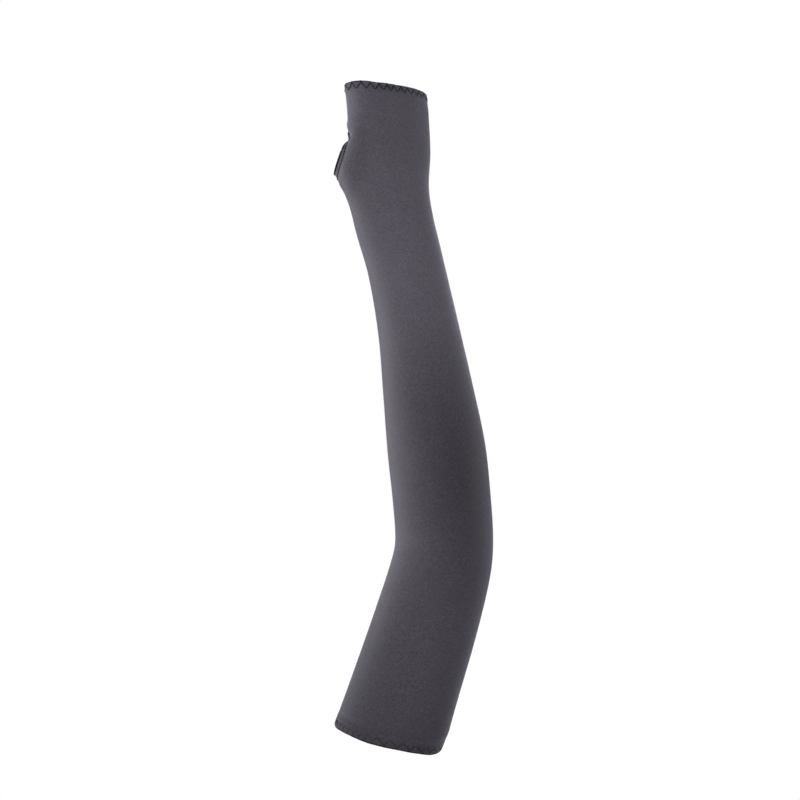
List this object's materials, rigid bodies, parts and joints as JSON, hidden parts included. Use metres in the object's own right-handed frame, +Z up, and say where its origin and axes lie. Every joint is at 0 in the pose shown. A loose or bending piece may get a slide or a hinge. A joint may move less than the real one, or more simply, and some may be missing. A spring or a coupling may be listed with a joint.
{
  "type": "sun protection arm sleeve",
  "caption": "Charcoal stretch-knit sun sleeve for a right arm, upper arm to knuckles, with a thumb hole and folded, zigzag-sewn hems, in its worn form.",
  "frame": {"origin": "centre of the upper arm opening, where the arm goes in", "axes": "+Z up along the arm towards the hand, +X to the elbow's point, -Y towards the back of the hand and the picture's viewer"},
  "size_m": [0.1142, 0.0846, 0.4824],
  "materials": {
    "knit": "fine smooth stretch knit, slightly shiny at grazing angles",
    "hem_knit": "folded double knit",
    "thread": "near-black sewing thread"
  },
  "bodies": {
    "root": {"sleeve_tube": "knit", "arm_hem": "hem_knit", "hand_hem": "hem_knit", "thumb_hem": "hem_knit"}
  },
  "joints": []
}
